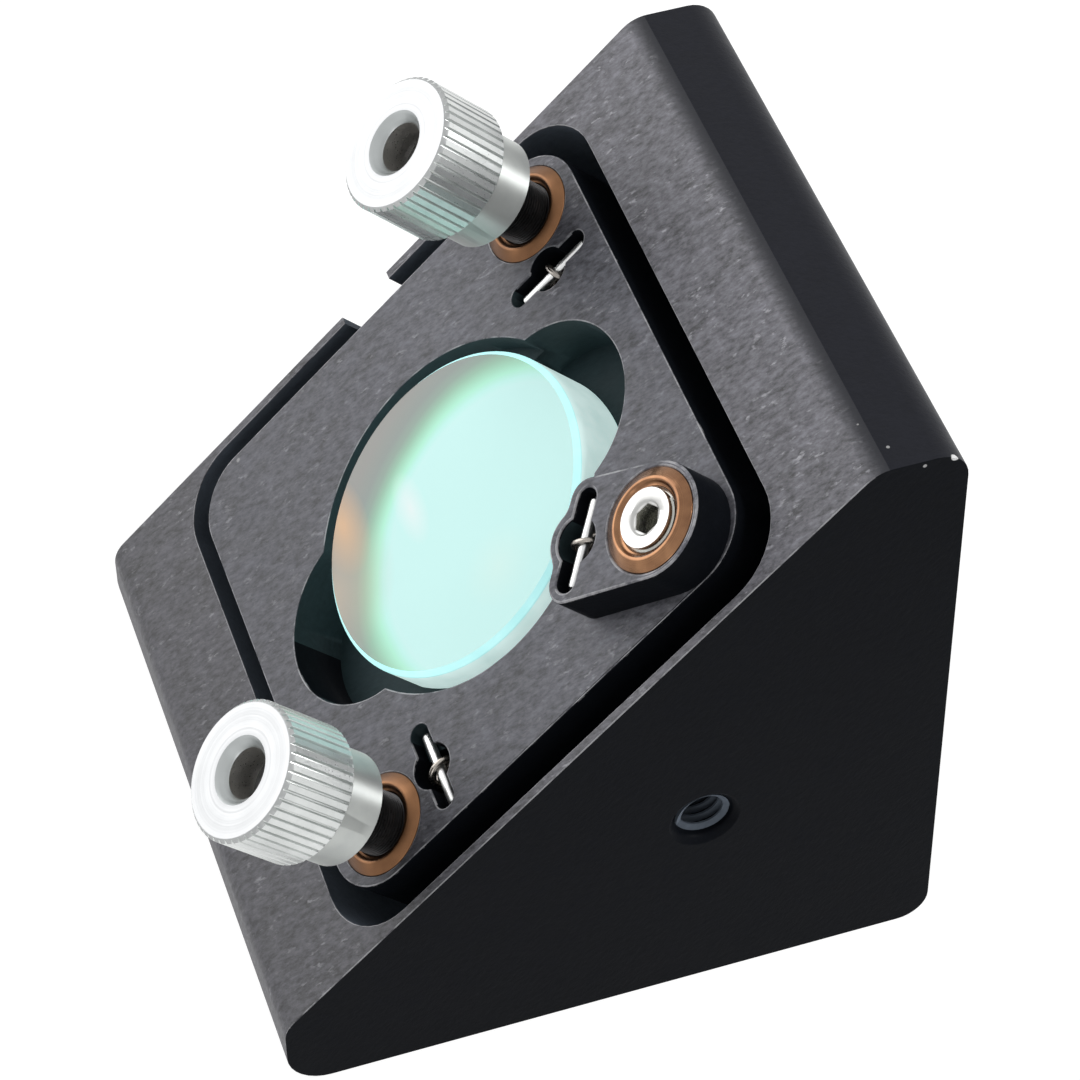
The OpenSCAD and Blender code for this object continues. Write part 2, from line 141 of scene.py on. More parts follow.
def axis_of(node):
    """Middle of a CAD node across the slope's normal, at height 0."""
    low, high = reach(node)
    return Vector(((low.x + high.x) / 2, (low.y + high.y) / 2, 0))


_, plate_high = reach("front_plate")
mirror_low, mirror_high = reach("mirror_disc")
print("slope centre", [round(v / MM, 2) for v in centre], "mm")
print("mirror from", round(mirror_low.z / MM, 2), "to", round(mirror_high.z / MM, 2), "mm")

# %% [markdown]
# ## Small helpers
# Each piece starts as a bmesh, gets its shape from a few operators and ends
# as an object whose own place is the origin.  One helper turns a bmesh into a
# piece that rides on a body, one turns an outline about an axis, and one
# sweeps an outline up a helix.  The helix is laid ring by ring, because a
# spin operator of two thousand steps takes a minute where this takes a blink.

# %% Helpers that make pieces
SAME_POINT = 0.0005 * MM
SAME_CAD_POINT = 0.001 * MM
ON_PLANE = 0.002 * MM
FLAT_ANGLE = math.radians(0.3)


def finish_piece(name, bm, body, finishes, nodes=(), smooth=35, bend=None):
    """Puts a bmesh in the scene as a piece of a body, or one bent between two bodies."""
    mesh = bpy.data.meshes.new(name)
    bm.to_mesh(mesh)
    bm.free()
    for finish in finishes:
        mesh.materials.append(finish)
    mesh.shade_smooth()
    mesh.set_sharp_from_angle(angle=math.radians(smooth))
    piece = bpy.data.objects.new(name, mesh)
    bpy.context.scene.collection.objects.link(piece)
    if bend:
        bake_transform(piece, *body, *bend)
    else:
        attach(piece, body)
    if nodes:
        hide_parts(*nodes)
    print(f"{name}: {len(mesh.polygons)} faces on {body}")
    return piece


def steady_normals(piece):
    """Lets large flat faces keep flat shading next to rounded edges."""
    steady = piece.modifiers.new("steady normals", "WEIGHTED_NORMAL")
    steady.keep_sharp = True


def outline(bm, points):
    """A chain of edges through points given as (radius, height) in mm."""
    verts = [bm.verts.new((r * MM, 0, z * MM)) for r, z in points]
    edges = [bm.edges.new(pair) for pair in zip(verts, verts[1:])]
    return verts, edges


def turn_outline(bm, points, steps=64):
    """Turns an outline a full circle about z, as a lathe does."""
    verts, edges = outline(bm, points)
    bmesh.ops.spin(bm, geom=verts + edges, axis=(0, 0, 1), cent=(0, 0, 0),
                   angle=math.tau, steps=steps, use_merge=True, use_duplicate=False)
    bmesh.ops.remove_doubles(bm, verts=bm.verts, dist=SAME_POINT)
    bmesh.ops.recalc_face_normals(bm, faces=bm.faces)


def wind(bm, loop, pitch, turns, steps):
    """Sweeps a closed loop of (radius, height) points in mm up a helix, and caps its ends."""
    rings = []
    for i in range(round(turns * steps) + 1):
        angle = math.tau * i / steps
        climb = pitch * i / steps
        rings.append([bm.verts.new((r * MM * math.cos(angle), r * MM * math.sin(angle),
                                    (z + climb) * MM)) for r, z in loop])
    for under, over in zip(rings, rings[1:]):
        for j in range(len(loop)):
            bm.faces.new((under[j - 1], under[j], over[j], over[j - 1]))
    bm.faces.new(rings[0])
    bm.faces.new(reversed(rings[-1]))
    bmesh.ops.recalc_face_normals(bm, faces=bm.faces)


def place(bm, where, turn_z=0):
    """Moves what lies flat about the origin to a point of the slope."""
    spot = SLOPE @ Matrix.Translation(where) @ Matrix.Rotation(turn_z, 4, "Z")
    bmesh.ops.transform(bm, matrix=spot, verts=bm.verts)


def merged_copy(node):
    """A bmesh of a CAD node with its loose triangles joined into whole faces."""
    bm = bmesh.new()
    bm.from_mesh(frame["nodes"][node].data)
    bm.faces.layers.float.new("worn")
    bmesh.ops.remove_doubles(bm, verts=bm.verts, dist=SAME_CAD_POINT)
    bmesh.ops.dissolve_limit(bm, angle_limit=FLAT_ANGLE, verts=bm.verts,
                             edges=bm.edges, use_dissolve_boundaries=False)
    return bm


def sharp_edges(bm, least, longer=0.0):
    """Outer edges sharper than an angle in degrees and longer than a length in mm."""
    return [e for e in bm.edges if e.is_manifold and e.is_convex
            and e.calc_face_angle() > math.radians(least) and e.calc_length() > longer * MM]


def break_edges(bm, edges, width, segments=2):
    """Rounds the given edges a little and marks the rounding as worn."""
    made = bmesh.ops.bevel(bm, geom=edges, offset=width * MM, offset_type="OFFSET",
                           affect="EDGES", segments=segments, profile=0.5, material=-1,
                           clamp_overlap=True)
    worn = bm.faces.layers.float["worn"]
    for face in made["faces"]:
        face[worn] = 1.0
    print("  broke", len(edges), "edges,", len(made["faces"]), "new faces")


def edges_on(bm, level, direction):
    """Outer edges that lie in a plane: at a height in mm along a direction of the model."""
    def inside(vert):
        return abs(vert.co.dot(direction) - level * MM) < ON_PLANE
    return [e for e in sharp_edges(bm, 30) if inside(e.verts[0]) and inside(e.verts[1])]


print("piece helpers ready")

# %% [markdown]
# ## Effects shared by the finishes
# Black anodise on a blasted part isn't one flat black.  It has short bright
# streaks where the tool marks show through, soft clouds, pale worn edges and
# a few specks of dust.  Turned metal has rings instead.  Each effect is a
# node group with named sockets, so that every material can place it with its
# own values.

# %% Node helpers
def new_group(name, inputs, outputs):
    """A shader node group with float or vector inputs and float outputs."""
    group = bpy.data.node_groups.new(name, "ShaderNodeTree")
    for label, kind, value in inputs:
        socket = group.interface.new_socket(label, in_out="INPUT", socket_type=kind)
        if value is not None:
            socket.default_value = value
    for label in outputs:
        group.interface.new_socket(label, in_out="OUTPUT", socket_type="NodeSocketFloat")
    start = group.nodes.new("NodeGroupInput")
    end = group.nodes.new("NodeGroupOutput")
    return group, start.outputs, end.inputs


def add_node(tree, kind, inputs=None, **settings):
    """A node with its settings, and its inputs joined to sockets or set to values."""
    made = tree.nodes.new(kind)
    for key, value in settings.items():
        setattr(made, key, value)
    for key, value in (inputs or {}).items():
        if isinstance(value, bpy.types.NodeSocket):
            tree.links.new(value, made.inputs[key])
        else:
            made.inputs[key].default_value = value
    return made


def math_node(tree, operation, a, b=0.0, clamp=False):
    """The result of one sum on two values."""
    return add_node(tree, "ShaderNodeMath", {0: a, 1: b}, operation=operation,
                    use_clamp=clamp).outputs[0]


def ramp(tree, value, low, high, to_low=0.0, to_high=1.0):
    """A value mapped from one range to another, and held at its ends."""
    return add_node(tree, "ShaderNodeMapRange",
                {0: value, 1: low, 2: high, 3: to_low, 4: to_high}, clamp=True).outputs[0]


def noise(tree, vector, scale, detail=2.0, roughness=0.5):
    """The strength of a noise texture."""
    return add_node(tree, "ShaderNodeTexNoise",
                {"Vector": vector, "Scale": scale, "Detail": detail, "Roughness": roughness}).outputs[0]


def blend_colours(tree, factor, a, b):
    """Two colours, each a socket or a value, mixed by the socket of a factor."""
    mix = add_node(tree, "ShaderNodeMix", data_type="RGBA", clamp_factor=True)
    tree.links.new(factor, mix.inputs[0])
    for index, value in ((6, a), (7, b)):
        if isinstance(value, bpy.types.NodeSocket):
            tree.links.new(value, mix.inputs[index])
        else:
            mix.inputs[index].default_value = (*value, 1)
    return mix.outputs[2]


print("node helpers ready")


# %% The blasted grain group
def make_blasted_grain():
    """A grain drawn out along x, bright flecks and soft clouds, for a vector in metres."""
    group, start, end = new_group("blasted_grain", [
        ("Vector", "NodeSocketVector", None),
        ("Streak length", "NodeSocketFloat", 2.2)], ["Grain", "Flecks", "Clouds"])
    squeeze = math_node(group, "DIVIDE", 1.0, start["Streak length"])
    sizes = add_node(group, "ShaderNodeCombineXYZ", {0: squeeze, 1: 1.0, 2: 1.0}).outputs[0]
    drawn = add_node(group, "ShaderNodeVectorMath", {0: start["Vector"], 1: sizes},
                 operation="MULTIPLY").outputs[0]
    grain = ramp(group, noise(group, drawn, 2500.0, 4.0, 0.70), 0.34, 0.66)
    group.links.new(grain, end["Grain"])
    sparks = ramp(group, noise(group, drawn, 1900.0, 3.0, 0.65), 0.58, 0.70)
    patches = ramp(group, noise(group, start["Vector"], 380.0, 3.0, 0.6), 0.42, 0.60)
    group.links.new(math_node(group, "MULTIPLY", sparks, patches), end["Flecks"])
    clouds = ramp(group, noise(group, start["Vector"], 420.0, 4.0, 0.6), 0.32, 0.68)
    group.links.new(clouds, end["Clouds"])
    return group


grain_group = make_blasted_grain()
print("group:", grain_group.name)

# %% The worn edge, dust and turned ring groups
def make_edge_wear():
    """Worn patches along the edges that were marked when they were broken."""
    group, start, end = new_group("edge_wear", [
        ("Vector", "NodeSocketVector", None),
        ("Reach", "NodeSocketFloat", 0.5)], ["Worn"])
    mark = add_node(group, "ShaderNodeAttribute", attribute_name="worn").outputs["Fac"]
    patches = noise(group, start["Vector"], 420.0, 5.0, 0.7)
    level = math_node(group, "SUBTRACT", 1.0, start["Reach"])
    above = math_node(group, "SUBTRACT", patches, level)
    spread = math_node(group, "MULTIPLY", above, 6.0, clamp=True)
    edge = ramp(group, mark, 0.5, 1.0)
    group.links.new(math_node(group, "MULTIPLY", edge, spread), end["Worn"])
    return group


def make_dust():
    """A few scattered specks."""
    group, start, end = new_group("dust", [
        ("Vector", "NodeSocketVector", None),
        ("Amount", "NodeSocketFloat", 0.1)], ["Specks"])
    cells = add_node(group, "ShaderNodeTexVoronoi", {"Vector": start["Vector"], "Scale": 260.0})
    near = ramp(group, cells.outputs["Distance"], 0.03, 0.06, 1.0, 0.0)
    pick = add_node(group, "ShaderNodeSeparateColor", {0: cells.outputs["Color"]}).outputs[0]
    chosen = math_node(group, "LESS_THAN", pick, start["Amount"])
    group.links.new(math_node(group, "MULTIPLY", near, chosen), end["Specks"])
    return group


def make_turned_rings():
    """Fine rings about z, with a little wander, for a vector centred on the axis."""
    group, start, end = new_group("turned_rings", [
        ("Vector", "NodeSocketVector", None),
        ("Spacing", "NodeSocketFloat", 0.00012)], ["Rings", "Smear"])
    part = add_node(group, "ShaderNodeSeparateXYZ", {0: start["Vector"]}).outputs
    flat = add_node(group, "ShaderNodeCombineXYZ", {0: part[0], 1: part[1], 2: 0.0}).outputs[0]
    radius = add_node(group, "ShaderNodeVectorMath", {0: flat}, operation="LENGTH").outputs["Value"]
    spot = add_node(group, "ShaderNodeCombineXYZ", {0: radius, 1: part[2], 2: 0.0}).outputs[0]
    scale = math_node(group, "DIVIDE", 1.0, start["Spacing"])
    rings = noise(group, spot, scale, 3.0)
    group.links.new(rings, end["Rings"])
    group.links.new(noise(group, start["Vector"], 350.0, 3.0, 0.6), end["Smear"])
    return group


wear_group = make_edge_wear()
dust_group = make_dust()
ring_group = make_turned_rings()
print("groups:", [g.name for g in bpy.data.node_groups])

# %% [markdown]
# ## The finishes
# The block and the plate are the same black anodised aluminium.  Milled and
# blasted faces of the slope read as a streaky grey, partly their finish and
# partly a painted sheen of the key light, while the legs of the block read as
# a dark satin, so the function takes the depth of the black, the strength of
# the streaks and how much of the edges is worn.  The painted sheen grows paler
# up the slope and fades over the rounded edge into the top.  The blacks inside
# the pocket, the bore and the reliefs are lighter copies of the same anodise,
# painted light in their shade.  All patterns read Object coordinates.  A
# Mapping node turns them into the slope's frame, where the streaks run a
# little off the line of the slope.

# %% The black anodise
SLOPE_TURN = (0, math.radians(45), 0)
STREAK_ANGLE = math.radians(18)
GRAIN_SHARE = 0.66
DUST_COLOUR = (0.5, 0.5, 0.5)
WORN_COLOUR = (0.46, 0.46, 0.48)
CHIP_COLOUR = (0.9, 0.9, 0.9)
# Painted sheen: the slope pales over this half length as a painted sheen of the key light,
# and the sheen fades into the top's black between two places along x, in mm.
PAINTED_SHEEN_HALF_SLOPE = 32
PAINTED_SHEEN_ROLL_OFF = (17.95, 19.45)
OUTER_BLACK = (0.0125, 0.0135, 0.0185)
# Small chips in the finish: x, y, z and radius in mm, and how pale each is.
KNOCKS = ((24.2, -25.0, 50.3, 0.36, 0.95), (21.97, -25.0, 50.17, 0.16, 0.5),
          (20.09, -22.92, 50.6, 0.14, 0.4), (18.95, -20.18, 50.6, 0.14, 0.35))


def start_material(name):
    """A new material with an empty tree, its shader and its Object coordinates."""
    made = bpy.data.materials.new(name)
    made.use_nodes = True
    tree = made.node_tree
    shader = tree.nodes["Principled BSDF"]
    where = add_node(tree, "ShaderNodeTexCoord").outputs["Object"]
    return made, tree, shader, where


def slope_vector(tree, where, middle):
    """Object coordinates from a point of the model, turned to lie along the slope."""
    shifted = add_node(tree, "ShaderNodeVectorMath", {0: where, 1: tuple(middle)},
                       operation="SUBTRACT").outputs[0]
    return add_node(tree, "ShaderNodeMapping", {"Vector": shifted, "Rotation": SLOPE_TURN}).outputs[0]


def use_group(tree, group, **inputs):
    """A placed node group; underscores in the names stand for spaces."""
    return add_node(tree, "ShaderNodeGroup", {k.replace("_", " "): v for k, v in inputs.items()},
                node_tree=group).outputs


def add_bump(tree, shader, height, strength, distance):
    """A bump on the shader's normal."""
    bump = add_node(tree, "ShaderNodeBump",
                {"Height": height, "Strength": strength, "Distance": distance})
    tree.links.new(bump.outputs[0], shader.inputs["Normal"])


def black_anodise(name, base, fleck, gloss, specular, depth=0.15, flecks=0.1, wear=0.5, dust=0.06,
                  rise=0.0, top=None, knocks=()):
    """Black anodised aluminium: depth is the contrast of its grain, rise how far a painted sheen
    pales it up the slope, top the black that a painted sheen fades into past the slope, and
    knocks are (x, y, z, radius, paleness) in mm."""
    made, tree, shader, where = start_material(name)
    flat = add_node(tree, "ShaderNodeMapping", {"Vector": where, "Rotation": SLOPE_TURN}).outputs[0]
    turned = add_node(tree, "ShaderNodeMapping",
                  {"Vector": flat, "Rotation": (0, 0, STREAK_ANGLE)}).outputs[0]
    grain = use_group(tree, grain_group, Vector=turned)
    worn = use_group(tree, wear_group, Vector=where, Reach=wear)["Worn"]
    specks = use_group(tree, dust_group, Vector=where, Amount=dust)["Specks"]
    tone = math_node(tree, "ADD", math_node(tree, "MULTIPLY", grain["Grain"], GRAIN_SHARE),
                     math_node(tree, "MULTIPLY", grain["Clouds"], 1 - GRAIN_SHARE))
    low = tuple(c * (1 - depth) for c in base)
    high = tuple(c * (1 + depth) for c in base)
    colour = blend_colours(tree, tone, low, high)
    colour = blend_colours(tree, math_node(tree, "MULTIPLY", grain["Flecks"], flecks), colour, fleck)
    # Painted sheen: the colour grows paler up the slope and stands in for the key light's sheen.
    if rise:
        up_slope = add_node(tree, "ShaderNodeSeparateXYZ", {0: flat}).outputs[0]
        middle = centre.dot(along)
        level = ramp(tree, up_slope, middle - PAINTED_SHEEN_HALF_SLOPE * MM, middle + PAINTED_SHEEN_HALF_SLOPE * MM,
                     1 - rise, 1 + rise)
        colour = add_node(tree, "ShaderNodeVectorMath", {0: colour, "Scale": level},
                      operation="SCALE").outputs[0]
    colour = blend_colours(tree, math_node(tree, "MULTIPLY", specks, 0.5), colour, DUST_COLOUR)
    colour = blend_colours(tree, math_node(tree, "MULTIPLY", worn, 0.8), colour, WORN_COLOUR)
    # Painted sheen: across the rounded edge the slope's painted sheen fades into the top's black.
    if top:
        along_x = add_node(tree, "ShaderNodeSeparateXYZ", {0: where}).outputs[0]
        left = ramp(tree, along_x, PAINTED_SHEEN_ROLL_OFF[0] * MM, PAINTED_SHEEN_ROLL_OFF[1] * MM, 1.0, 0.0)
        colour = blend_colours(tree, math_node(tree, "POWER", left, 2.3), top, colour)
    for x, y, z, radius, paleness in knocks:
        spot = add_node(tree, "ShaderNodeVectorMath", {0: where, 1: (x * MM, y * MM, z * MM)},
                    operation="DISTANCE").outputs["Value"]
        chip = ramp(tree, spot, radius * 0.8 * MM, radius * MM, paleness, 0.0)
        colour = blend_colours(tree, chip, colour, CHIP_COLOUR)
    tree.links.new(colour, shader.inputs["Base Color"])
    rough = ramp(tree, grain["Clouds"], 0.0, 1.0, gloss - 0.05, gloss + 0.05)
    tree.links.new(rough, shader.inputs["Roughness"])
    shader.inputs["Specular IOR Level"].default_value = specular
    add_bump(tree, shader, grain["Grain"], 0.3, 0.00003)
    return made


# The grey of the slope and the plate is partly their blasted finish and partly a painted sheen of the key light;
# rise and top add more painted sheen.
blasted = black_anodise("blasted_black_with_painted_sheen", (0.092, 0.091, 0.104), (0.40, 0.40, 0.43), 0.50, 0.3,
                        depth=0.85, flecks=0.7, wear=0.64, rise=0.36, top=OUTER_BLACK, knocks=KNOCKS)
plate_black_with_painted_sheen = black_anodise("plate_black_with_painted_sheen", (0.088, 0.089, 0.104), (0.36, 0.36, 0.39), 0.50, 0.3,
                            depth=0.75, flecks=0.55, wear=0.58, rise=0.24)
satin = black_anodise("satin_black", (0.0050, 0.0060, 0.0082), (0.02, 0.02, 0.022), 0.42, 0.03,
                      wear=0.42, knocks=KNOCKS)
top_black = black_anodise("top_black", OUTER_BLACK, (0.02, 0.02, 0.022), 0.42, 0.10, wear=0.42,
                          knocks=KNOCKS)
# These two are lighter copies of the black anodise: painted light that lifts the shade in the block's pocket and
# holes and in the plate's bore and reliefs.
inner_black_painted_light = black_anodise("inner_black_painted_light", (0.130, 0.155, 0.190), (0.14, 0.16, 0.20), 0.5, 0.05,
                            wear=0.35, dust=0.0)
bore_black_painted_light = black_anodise("bore_black_painted_light", (0.026, 0.041, 0.046), (0.04, 0.05, 0.05), 0.5, 0.08,
                           wear=0.35, dust=0.0)
print("anodise:", [m.name for m in (blasted, plate_black_with_painted_sheen, satin, top_black, inner_black_painted_light, bore_black_painted_light)])

# %% [markdown]
# ## The metals
# The knobs are bright turned metal with a satin skin, the bushings are
# bronze, the pins and balls are polished steel, and the screws are a darker
# steel.  The parts of a knob are lighter and darker copies of one metal, as
# painted light and shade for what each part reflects.  The adjuster bushings
# and screws are darker copies, painted shade under the knobs, and the pivot
# bushing is the lit copy of the bronze.  The hex socket of the pivot screw and
# the tool hole of a knob are lighter copies, painted light in their depth.
# One function covers them all: a metallic shader whose roughness and bump
# follow the rings that the lathe left round each axis.

# %% Turned and drawn metals
def metal(name, colour, tint, gloss, middle=None, spacing=0.12, rings=0.3, smear=0.1, drawn=0.0):
    """A metal with lathe rings about an axis of the slope; drawn stretches its shine along that axis."""
    made, tree, shader, where = start_material(name)
    local = slope_vector(tree, where, middle or centre)
    turned = use_group(tree, ring_group, Vector=local, Spacing=spacing * MM)
    base = blend_colours(tree, ramp(tree, turned["Smear"], 0.3, 0.7), tint, colour)
    tree.links.new(base, shader.inputs["Base Color"])
    shader.inputs["Metallic"].default_value = 1.0
    ring_part = ramp(tree, turned["Rings"], 0.3, 0.7, -smear, smear)
    tree.links.new(math_node(tree, "ADD", ring_part, gloss), shader.inputs["Roughness"])
    if drawn:
        shader.inputs["Anisotropic"].default_value = drawn
        axis = add_node(tree, "ShaderNodeCombineXYZ",
                        {0: outward.x, 1: outward.y, 2: outward.z}).outputs[0]
        tree.links.new(axis, shader.inputs["Tangent"])
    add_bump(tree, shader, turned["Rings"], rings, 0.00001)
    return made


def middle_of(name):
    """A point on the axis of a CAD node, in the model's frame."""
    return SLOPE @ axis_of(name)


# The knob's face, cone, knurl, collar, chamfer and hole are lighter and darker copies of one turned metal: painted
# light and shade for what each part reflects.  The hole is the lightest, painted light in its depth.
knob_faces = [metal(f"knob_face_{i}", (0.385, 0.39, 0.395), (0.355, 0.36, 0.365), 0.42,
                    middle_of(f"knob_{i}")) for i in (1, 2)]
knob_cones = [metal(f"knob_cone_{i}", (0.44, 0.46, 0.46), (0.38, 0.40, 0.40), 0.40,
                    middle_of(f"knob_{i}")) for i in (1, 2)]
knurl_metal = metal("knurl_metal", (0.72, 0.74, 0.73), (0.60, 0.62, 0.61), 0.36, rings=0.1, drawn=0.6)
collar_metal = metal("collar_metal", (0.56, 0.58, 0.56), (0.48, 0.50, 0.49), 0.46, rings=0.05,
                     smear=0.03, drawn=0.85)
chamfer_metal = metal("chamfer_metal", (0.42, 0.43, 0.43), (0.34, 0.35, 0.35), 0.46, rings=0.1)
hole_metal_painted_light = metal("hole_metal_painted_light", (0.90, 0.88, 0.84), (0.74, 0.73, 0.70), 0.35, rings=0.02)
# bronze_shaded is a darker copy of the bronze, painted shade under the knobs on the adjuster bushings; the pivot
# bushing gets the lit copy.
bronzes = [metal("bronze_shaded", (0.21, 0.105, 0.052), (0.13, 0.065, 0.034), 0.34, middle_of(name))
           for name in ("bushing_1", "bushing_2")]
bronzes.append(metal("bronze_painted_lit", (0.34, 0.18, 0.095), (0.17, 0.085, 0.047), 0.22,
                     middle_of("pivot_bushing")))
bright_steel = metal("bright_steel", (0.80, 0.80, 0.79), (0.66, 0.67, 0.67), 0.34, rings=0.05)
ring_steel = metal("ring_steel", (0.50, 0.50, 0.49), (0.45, 0.45, 0.44), 0.38, middle_of("pivot_screw"))
# A lighter copy of the screw steel: painted light in the deep hex socket.
socket_steel_painted_light = metal("socket_steel_painted_light", (0.46, 0.46, 0.43), (0.30, 0.30, 0.28), 0.26, rings=0.2)
# dark_steel is near black; on the adjuster screws it is painted shade under the knobs.
dark_steel = metal("dark_steel", (0.07, 0.07, 0.072), (0.035, 0.035, 0.036), 0.36, rings=0.2)
spring_steel = metal("spring_steel", (0.42, 0.39, 0.35), (0.28, 0.26, 0.24), 0.28, rings=0.1)
print("metals:", knurl_metal.name, bronzes[2].name, bright_steel.name, spring_steel.name)

# %% [markdown]
# ## The glass of the mirror
# The disc is a dielectric mirror seen from its back.  The coating shows
# through the glass as a pale cyan that turns green and then a greyish beige
# towards the edge opposite the boss; these colours are partly the coating's
# own tint and partly a painted reflection of the light in the coat, and a
# white streak on it is a painted highlight.  The cyan part is the shape of the
# disc itself, moved over, so the colour follows the distance from a second
# centre.  The rim is ground, so it is pale and frosted, and the rim and bevels
# get a painted glow for the light that passes through the glass.

# %% The glass finishes
def mirror_face():
    """The coated glass as seen through its flat face: the coating's tint with a painted reflection of the light
    and a painted highlight.
    """
    made, tree, shader, where = start_material("coated_glass")
    local = slope_vector(tree, where, centre)

    def from_point(x, y, stretch=1.0, turn=0.0):
        """Distance in mm from a point of the face."""
        spot = add_node(tree, "ShaderNodeVectorMath", {0: local, 1: (x * MM, y * MM, 0)},
                    operation="SUBTRACT").outputs[0]
        sized = add_node(tree, "ShaderNodeMapping",
                     {"Vector": spot, "Rotation": (0, 0, turn),
                      "Scale": (1 / MM, stretch / MM, 0)}).outputs[0]
        return add_node(tree, "ShaderNodeVectorMath", {0: sized}, operation="LENGTH").outputs["Value"]

    # Partly painted reflection: the bands, the beige edge and the orange and cream spots are the coating's tint
    # with the reflection of the light in the coat painted into them.
    wander = ramp(tree, noise(tree, where, 90.0, 2.0), 0.3, 0.7, -0.25, 0.25)
    beyond = math_node(tree, "ADD", from_point(3.3, -5.0), wander)
    bands = add_node(tree, "ShaderNodeValToRGB", {0: ramp(tree, beyond, 10.9, 17.3)})
    stops = [(0.00, (0.640, 1.000, 0.960)), (0.08, (0.645, 1.000, 0.956)),
             (0.17, (0.578, 1.000, 0.913)), (0.27, (0.474, 0.956, 0.730)),
             (0.36, (0.402, 0.791, 0.578)), (0.47, (0.332, 0.578, 0.429)),
             (0.59, (0.305, 0.413, 0.352)), (0.73, (0.305, 0.352, 0.328)),
             (1.00, (0.342, 0.342, 0.323))]
    set_stops(bands, stops)
    orange = ramp(tree, from_point(-9.1, 7.0, 0.5, math.radians(-145)), 0.2, 2.5, 0.9, 0.0)
    pale = ramp(tree, from_point(-12.2, 2.2), 0.0, 6.5, 0.6, 0.0)
    beige = blend_colours(tree, pale, bands.outputs[0], (0.640, 0.520, 0.390))
    warm = blend_colours(tree, orange, beige, (0.780, 0.500, 0.290))
    # Painted highlight: a white streak of reflected light on the face.
    glow = ramp(tree, from_point(-3.0, 3.2, 0.4, math.radians(-38)), 0.0, 1.5, 0.7, 0.0)
    lit = blend_colours(tree, glow, warm, (0.94, 1.0, 1.0))
    cream = ramp(tree, from_point(1.9, -7.5), 0.0, 3.4, 0.5, 0.0)
    soft = blend_colours(tree, cream, lit, (0.76, 1.0, 0.92))
    tree.links.new(soft, shader.inputs["Base Color"])
    specks = noise(tree, where, 2600.0, 2.0)
    tree.links.new(ramp(tree, specks, 0.3, 0.7, 0.10, 0.18), shader.inputs["Roughness"])
    shader.inputs["Specular IOR Level"].default_value = 0.2
    add_bump(tree, shader, specks, 0.05, 0.000004)
    return made


def set_stops(colour_ramp, stops):
    """Fills a colour ramp with stops of (position, colour)."""
    elements = colour_ramp.color_ramp.elements
    while len(elements) < len(stops):
        elements.new(0.5)
    for element, (position, colour) in zip(elements, stops):
        element.position = position
        element.color = (*colour, 1)


def frosted_glass(name, colour, pale, gloss, glow=0.0):
    """Ground glass: a pale body with a fine tooth; glow is a painted glow for the light that passes through the
    glass.
    """
    made, tree, shader, where = start_material(name)
    cloud = ramp(tree, noise(tree, where, 300.0, 3.0, 0.6), 0.35, 0.65)
    body = blend_colours(tree, cloud, colour, pale)
    tree.links.new(body, shader.inputs["Base Color"])
    # Painted glow: emission stands in for the light that passes through the glass and leaves by the rim.
    if glow:
        tree.links.new(body, shader.inputs["Emission Color"])
        shader.inputs["Emission Strength"].default_value = glow
    tooth = noise(tree, where, 9000.0, 2.0, 0.6)
    tree.links.new(ramp(tree, tooth, 0.3, 0.7, gloss - 0.08, gloss + 0.08), shader.inputs["Roughness"])
    add_bump(tree, shader, tooth, 0.2, 0.00001)
    return made


coated = mirror_face()
# The rim and bevel get a painted glow for the light passing through the glass; the nylon gets none.
ground_rim = frosted_glass("ground_rim", (0.42, 0.56, 0.54), (0.50, 0.64, 0.62), 0.5, 0.98)
ground_bevel = frosted_glass("ground_bevel", (0.40, 0.76, 0.76), (0.46, 0.82, 0.82), 0.35, 0.68)
mirror_silver = metal("mirror_silver", (0.86, 0.93, 0.95), (0.80, 0.90, 0.93), 0.05, rings=0.0,
                      smear=0.02)
white_nylon = frosted_glass("white_nylon", (0.72, 0.71, 0.66), (0.80, 0.79, 0.74), 0.45)
print("glass:", coated.name, ground_rim.name, ground_bevel.name)

# %% [markdown]
# ## The block
# The block is a copy of the model's solid with three things added.  Its outer
# edges are broken by a seventh of a millimetre, which is what catches the thin
# bright lines along the rim.  Its faces get one of four blacks, picked by
# where they lie; the black inside the pocket is a lighter copy, painted light
# in its shade, and the slope's grey carries a painted sheen.  Its ports, rod
# holes and post holes get real helical threads that stand inwards from the bores.

# %% Threads for the bores
SLOPE_FINISH, OUTSIDE, INSIDE, TOP = range(4)


def threaded_bore(bm, mouth, radius, depth, pitch, height, steps):
    """Adds an inner thread in mm to a bmesh; mouth is the matrix of the bore's mouth, z going in."""
    part = bmesh.new()
    half = pitch * 0.46
    crest = pitch * 0.10
    start = pitch * 0.7
    loop = [(radius + 0.04, start - half), (radius - height, start - crest),
            (radius - height, start + crest), (radius + 0.04, start + half)]
    wind(part, loop, pitch, math.floor((depth - 2 * start) / pitch * steps) / steps, steps)
    for face in part.faces:
        face.material_index = INSIDE
    bmesh.ops.transform(part, matrix=mouth, verts=part.verts)
    mesh = bpy.data.meshes.new("thread")
    part.to_mesh(mesh)
    part.free()
    bm.from_mesh(mesh)
    bpy.data.meshes.remove(mesh)


def mouth_at(mount):
    """The matrix of a bore mount of the record, at its mouth, with z going into the bore."""
    into = -Vector(mount["axis"]).normalized()
    turn = into.to_track_quat("Z", "Y").to_matrix().to_4x4()
    return Matrix.Translation(mount["pos_m"]) @ turn


print("thread helpers ready")

# %% Make the block
# Limits in mm between the finishes: a rim just under the slope, the pocket's floor, the sides,
# the top, the base, the back, the end of the toe and the tip.
RIM = 0.2
POCKET_DEPTH = 11.8
SIDE_Y = 24.9
TOP_X = 19.5
TOP_BAND = 2.5
BASE_Z = 0.1
BACK_X = 25.2
TOE_X = -21
TIP_Z = 47
WORN_DEPTH = 0.3
BLOCK_BREAK = 0.14


